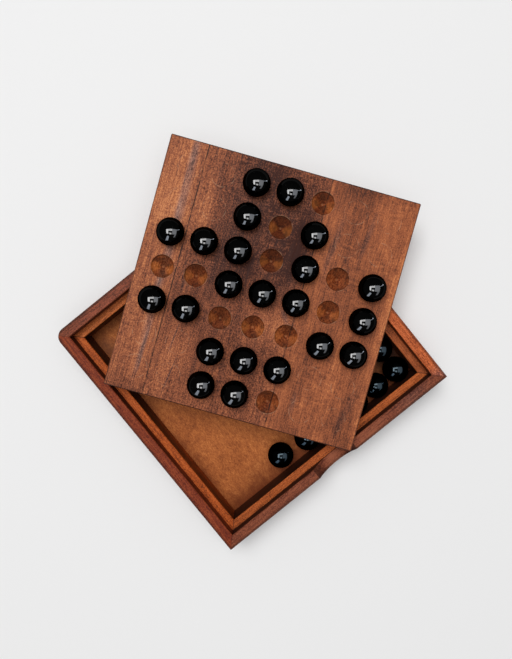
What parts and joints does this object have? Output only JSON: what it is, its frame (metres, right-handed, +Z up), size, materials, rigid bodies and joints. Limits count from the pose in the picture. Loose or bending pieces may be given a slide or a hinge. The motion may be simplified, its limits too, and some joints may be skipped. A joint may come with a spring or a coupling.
{
  "type": "peg solitaire board",
  "caption": "Square wooden solitaire set: a dimpled playing board lying turned on a storage tray, with black glass marbles on the board and in the tray.",
  "frame": {"origin": "the middle of the tray's underside, on the surface that the set stands on", "axes": "+Z up; -Y is the tray's front, with the finger notch; +X is the tray's right"},
  "size_m": [0.2157, 0.2125, 0.0496],
  "materials": {
    "board_wood": "oiled reddish hardwood, satin",
    "rail_wood": "oiled reddish-brown hardwood, satin",
    "ledge_wood": "oiled lighter hardwood, satin",
    "floor_wood": "stained thin panel, matte",
    "marble_glass": "polished opaque black glass"
  },
  "bodies": {
    "tray": {"rail_front": "rail_wood", "rail_right": "rail_wood", "rail_back": "rail_wood", "rail_left": "rail_wood", "ledge_front": "ledge_wood", "ledge_right": "ledge_wood", "ledge_back": "ledge_wood", "ledge_left": "ledge_wood", "floor_panel": "floor_wood"},
    "playing_board": {"board_stave_left": "board_wood", "board_stave_middle": "board_wood", "board_stave_right": "board_wood"},
    "marble_row1_column3": {"marble_row1_column3": "marble_glass"},
    "marble_row1_column4": {"marble_row1_column4": "marble_glass"},
    "marble_row2_column3": {"marble_row2_column3": "marble_glass"},
    "marble_row2_column5": {"marble_row2_column5": "marble_glass"},
    "marble_row3_column1": {"marble_row3_column1": "marble_glass"},
    "marble_row3_column2": {"marble_row3_column2": "marble_glass"},
    "marble_row3_column3": {"marble_row3_column3": "marble_glass"},
    "marble_row3_column5": {"marble_row3_column5": "marble_glass"},
    "marble_row3_column7": {"marble_row3_column7": "marble_glass"},
    "marble_row4_column3": {"marble_row4_column3": "marble_glass"},
    "marble_row4_column4": {"marble_row4_column4": "marble_glass"},
    "marble_row4_column5": {"marble_row4_column5": "marble_glass"},
    "marble_row4_column7": {"marble_row4_column7": "marble_glass"},
    "marble_row5_column1": {"marble_row5_column1": "marble_glass"},
    "marble_row5_column2": {"marble_row5_column2": "marble_glass"},
    "marble_row5_column6": {"marble_row5_column6": "marble_glass"},
    "marble_row5_column7": {"marble_row5_column7": "marble_glass"},
    "marble_row6_column3": {"marble_row6_column3": "marble_glass"},
    "marble_row6_column4": {"marble_row6_column4": "marble_glass"},
    "marble_row6_column5": {"marble_row6_column5": "marble_glass"},
    "marble_row7_column3": {"marble_row7_column3": "marble_glass"},
    "marble_row7_column4": {"marble_row7_column4": "marble_glass"},
    "taken_marble_01": {"taken_marble_01": "marble_glass"},
    "taken_marble_02": {"taken_marble_02": "marble_glass"},
    "taken_marble_03": {"taken_marble_03": "marble_glass"},
    "taken_marble_04": {"taken_marble_04": "marble_glass"},
    "taken_marble_05": {"taken_marble_05": "marble_glass"},
    "taken_marble_06": {"taken_marble_06": "marble_glass"},
    "taken_marble_07": {"taken_marble_07": "marble_glass"},
    "taken_marble_08": {"taken_marble_08": "marble_glass"},
    "taken_marble_09": {"taken_marble_09": "marble_glass"},
    "taken_marble_10": {"taken_marble_10": "marble_glass"}
  },
  "joints": [
    {"name": "board_lift", "type": "slide", "parent": "tray", "child": "playing_board", "axis": [0, 0, 1], "range_m": [0, 0.06]},
    {"name": "lift_row1_column3", "type": "slide", "parent": "playing_board", "child": "marble_row1_column3", "axis": [0, 0, 1], "range_m": [0, 0.04]},
    {"name": "lift_row1_column4", "type": "slide", "parent": "playing_board", "child": "marble_row1_column4", "axis": [0, 0, 1], "range_m": [0, 0.04]},
    {"name": "lift_row2_column3", "type": "slide", "parent": "playing_board", "child": "marble_row2_column3", "axis": [0, 0, 1], "range_m": [0, 0.04]},
    {"name": "lift_row2_column5", "type": "slide", "parent": "playing_board", "child": "marble_row2_column5", "axis": [0, 0, 1], "range_m": [0, 0.04]},
    {"name": "lift_row3_column1", "type": "slide", "parent": "playing_board", "child": "marble_row3_column1", "axis": [0, 0, 1], "range_m": [0, 0.04]},
    {"name": "lift_row3_column2", "type": "slide", "parent": "playing_board", "child": "marble_row3_column2", "axis": [0, 0, 1], "range_m": [0, 0.04]},
    {"name": "lift_row3_column3", "type": "slide", "parent": "playing_board", "child": "marble_row3_column3", "axis": [0, 0, 1], "range_m": [0, 0.04]},
    {"name": "lift_row3_column5", "type": "slide", "parent": "playing_board", "child": "marble_row3_column5", "axis": [0, 0, 1], "range_m": [0, 0.04]},
    {"name": "lift_row3_column7", "type": "slide", "parent": "playing_board", "child": "marble_row3_column7", "axis": [0, 0, 1], "range_m": [0, 0.04]},
    {"name": "lift_row4_column3", "type": "slide", "parent": "playing_board", "child": "marble_row4_column3", "axis": [0, 0, 1], "range_m": [0, 0.04]},
    {"name": "lift_row4_column4", "type": "slide", "parent": "playing_board", "child": "marble_row4_column4", "axis": [0, 0, 1], "range_m": [0, 0.04]},
    {"name": "lift_row4_column5", "type": "slide", "parent": "playing_board", "child": "marble_row4_column5", "axis": [0, 0, 1], "range_m": [0, 0.04]},
    {"name": "lift_row4_column7", "type": "slide", "parent": "playing_board", "child": "marble_row4_column7", "axis": [0, 0, 1], "range_m": [0, 0.04]},
    {"name": "lift_row5_column1", "type": "slide", "parent": "playing_board", "child": "marble_row5_column1", "axis": [0, 0, 1], "range_m": [0, 0.04]},
    {"name": "lift_row5_column2", "type": "slide", "parent": "playing_board", "child": "marble_row5_column2", "axis": [0, 0, 1], "range_m": [0, 0.04]},
    {"name": "lift_row5_column6", "type": "slide", "parent": "playing_board", "child": "marble_row5_column6", "axis": [0, 0, 1], "range_m": [0, 0.04]},
    {"name": "lift_row5_column7", "type": "slide", "parent": "playing_board", "child": "marble_row5_column7", "axis": [0, 0, 1], "range_m": [0, 0.04]},
    {"name": "lift_row6_column3", "type": "slide", "parent": "playing_board", "child": "marble_row6_column3", "axis": [0, 0, 1], "range_m": [0, 0.04]},
    {"name": "lift_row6_column4", "type": "slide", "parent": "playing_board", "child": "marble_row6_column4", "axis": [0, 0, 1], "range_m": [0, 0.04]},
    {"name": "lift_row6_column5", "type": "slide", "parent": "playing_board", "child": "marble_row6_column5", "axis": [0, 0, 1], "range_m": [0, 0.04]},
    {"name": "lift_row7_column3", "type": "slide", "parent": "playing_board", "child": "marble_row7_column3", "axis": [0, 0, 1], "range_m": [0, 0.04]},
    {"name": "lift_row7_column4", "type": "slide", "parent": "playing_board", "child": "marble_row7_column4", "axis": [0, 0, 1], "range_m": [0, 0.04]},
    {"name": "lift_taken_01", "type": "slide", "parent": "tray", "child": "taken_marble_01", "axis": [0, 0, 1], "range_m": [0, 0.05]},
    {"name": "roll_taken_02", "type": "slide", "parent": "tray", "child": "taken_marble_02", "axis": [0, 1, 0], "range_m": [0, 0.0305]},
    {"name": "roll_taken_03", "type": "slide", "parent": "tray", "child": "taken_marble_03", "axis": [0, 1, 0], "range_m": [0, 0.051]},
    {"name": "roll_taken_04", "type": "slide", "parent": "tray", "child": "taken_marble_04", "axis": [0, 1, 0], "range_m": [0, 0.0475]},
    {"name": "roll_taken_05", "type": "slide", "parent": "tray", "child": "taken_marble_05", "axis": [0, 1, 0], "range_m": [0, 0.045]},
    {"name": "roll_taken_06", "type": "slide", "parent": "tray", "child": "taken_marble_06", "axis": [0, 1, 0], "range_m": [0, 0.127]},
    {"name": "roll_taken_07", "type": "slide", "parent": "tray", "child": "taken_marble_07", "axis": [0, 1, 0], "range_m": [0, 0.1255]},
    {"name": "roll_taken_08", "type": "slide", "parent": "tray", "child": "taken_marble_08", "axis": [0, 1, 0], "range_m": [0, 0.066]},
    {"name": "roll_taken_09", "type": "slide", "parent": "tray", "child": "taken_marble_09", "axis": [0, 1, 0], "range_m": [0, 0.0585]},
    {"name": "roll_taken_10", "type": "slide", "parent": "tray", "child": "taken_marble_10", "axis": [0, 1, 0], "range_m": [0, 0.068]}
  ]
}
